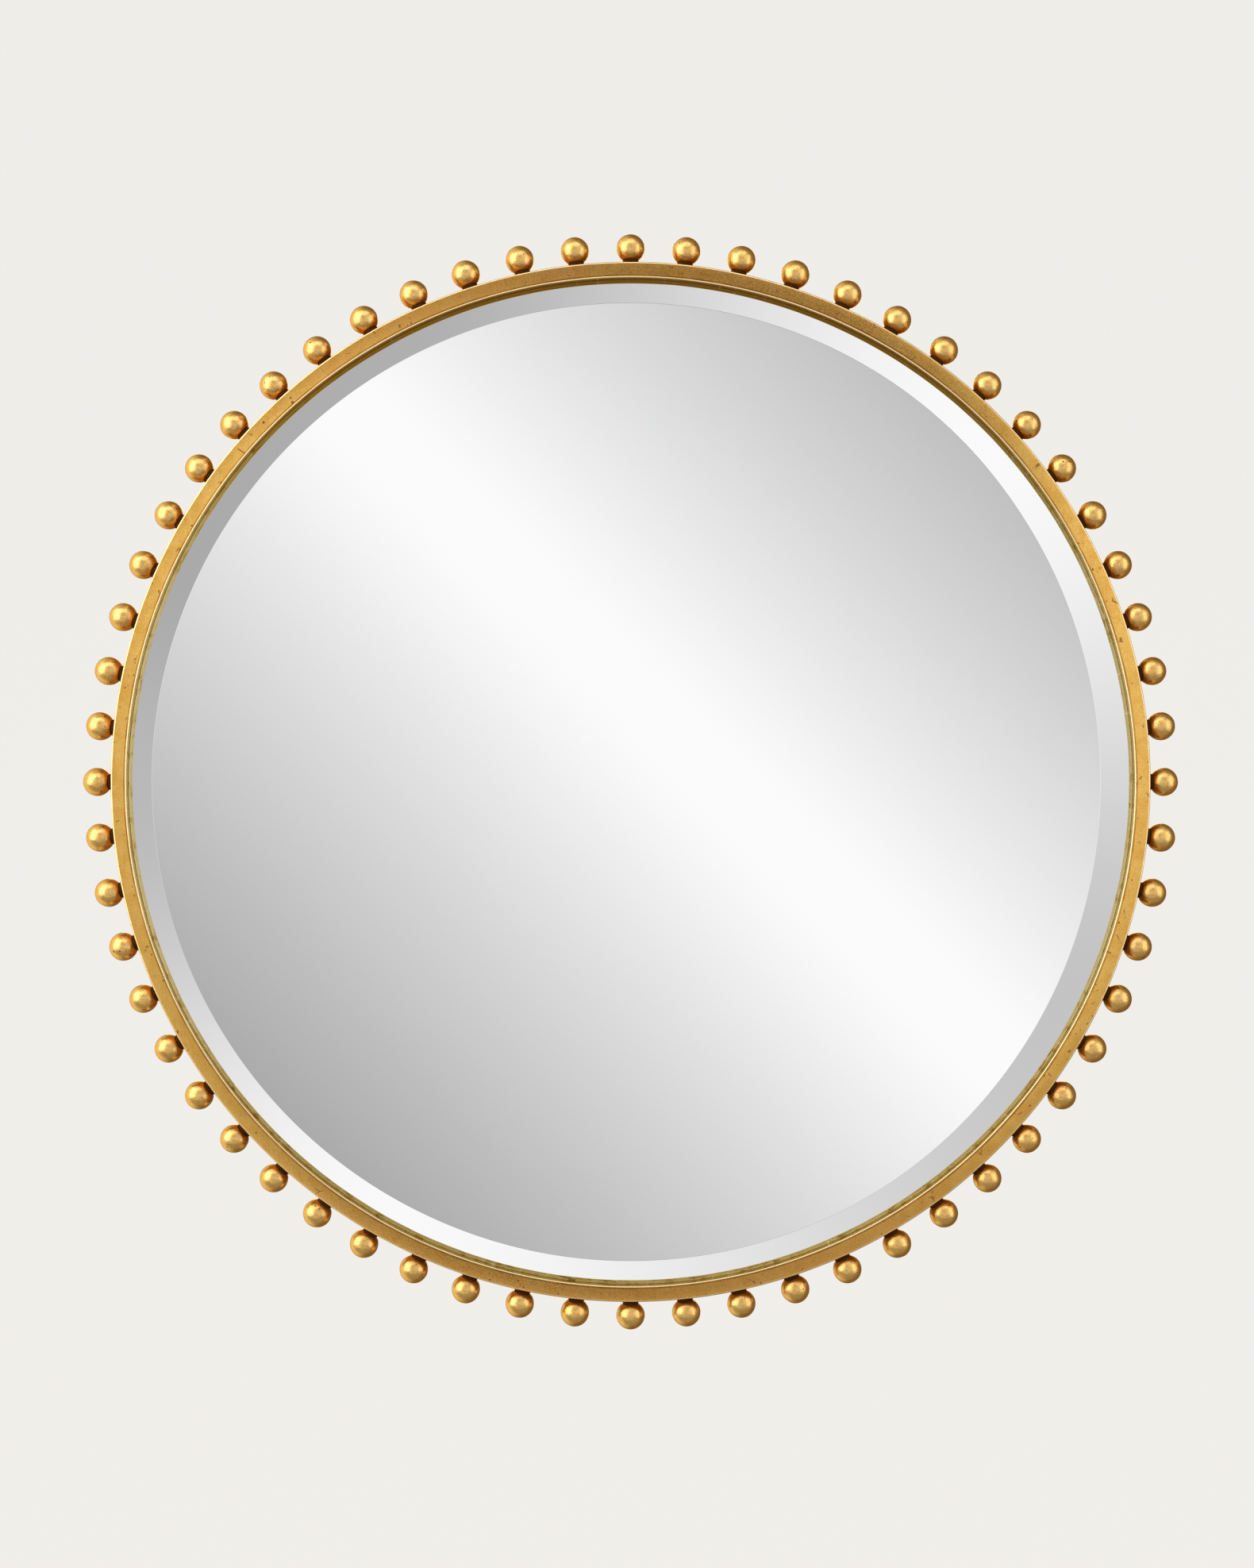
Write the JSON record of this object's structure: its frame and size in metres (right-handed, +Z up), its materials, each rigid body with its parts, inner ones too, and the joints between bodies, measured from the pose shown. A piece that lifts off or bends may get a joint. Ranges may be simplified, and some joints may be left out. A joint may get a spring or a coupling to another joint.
{
  "type": "round wall mirror",
  "caption": "Round wall mirror: a flat bevelled pane in a slim gilt hoop, ringed by gilt balls on short collars, with two D-ring hangers behind.",
  "frame": {"origin": "centre of the mirror on the wall plane, which the two wall bumpers touch", "axes": "+Y points into the wall, so the pane faces -Y; +Z is up as hung; +X is to the right as seen from the front"},
  "size_m": [1.1184, 0.0314, 1.1184],
  "materials": {
    "gilt_iron": "gold leaf over iron, satin, lightly worn",
    "dark_iron": "dark bronzed iron, satin",
    "mirror_pane": "silvered glass, ground and polished bevel",
    "gasket_foam": "dark closed-cell foam",
    "block_rubber": "black rubber, matte",
    "tape_foam": "white foam tape",
    "black_board": "fibreboard painted black, matte",
    "clip_steel": "zinc-plated sheet steel",
    "screw_steel": "zinc-plated",
    "hanger_steel": "nickel-plated steel",
    "bumper_rubber": "dark rubber, matte"
  },
  "bodies": {
    "root": {"outer_band": "gilt_iron", "face_ring": "gilt_iron", "inner_band": "gilt_iron", "beads": "gilt_iron", "bead_collars": "dark_iron", "mirror_glass": "mirror_pane", "glazing_gasket": "gasket_foam", "edge_block_1": "block_rubber", "edge_block_2": "block_rubber", "edge_block_3": "block_rubber", "edge_block_4": "block_rubber", "mounting_tape_1": "tape_foam", "mounting_tape_2": "tape_foam", "mounting_tape_3": "tape_foam", "mounting_tape_4": "tape_foam", "mounting_tape_5": "tape_foam", "backing_board": "black_board", "retaining_clip_1": "clip_steel", "retaining_clip_2": "clip_steel", "retaining_clip_3": "clip_steel", "retaining_clip_4": "clip_steel", "retaining_clip_5": "clip_steel", "retaining_clip_6": "clip_steel", "retaining_clip_7": "clip_steel", "retaining_clip_8": "clip_steel", "clip_screws": "screw_steel", "hanger_screws": "screw_steel", "hanger_strap_left": "hanger_steel", "hanger_strap_right": "hanger_steel", "wall_bumper_left": "bumper_rubber", "wall_bumper_right": "bumper_rubber"},
    "left_ring": {"d_ring_left": "hanger_steel"},
    "right_ring": {"d_ring_right": "hanger_steel"}
  },
  "joints": [
    {"name": "left_ring_swing", "type": "hinge", "parent": "root", "child": "left_ring", "pos_m": [-0.33, -0.00595, 0.25], "axis": [1, 0, 0], "range_deg": [0, 180]},
    {"name": "right_ring_swing", "type": "hinge", "parent": "root", "child": "right_ring", "pos_m": [0.33, -0.00595, 0.25], "axis": [1, 0, 0], "range_deg": [0, 180]}
  ]
}
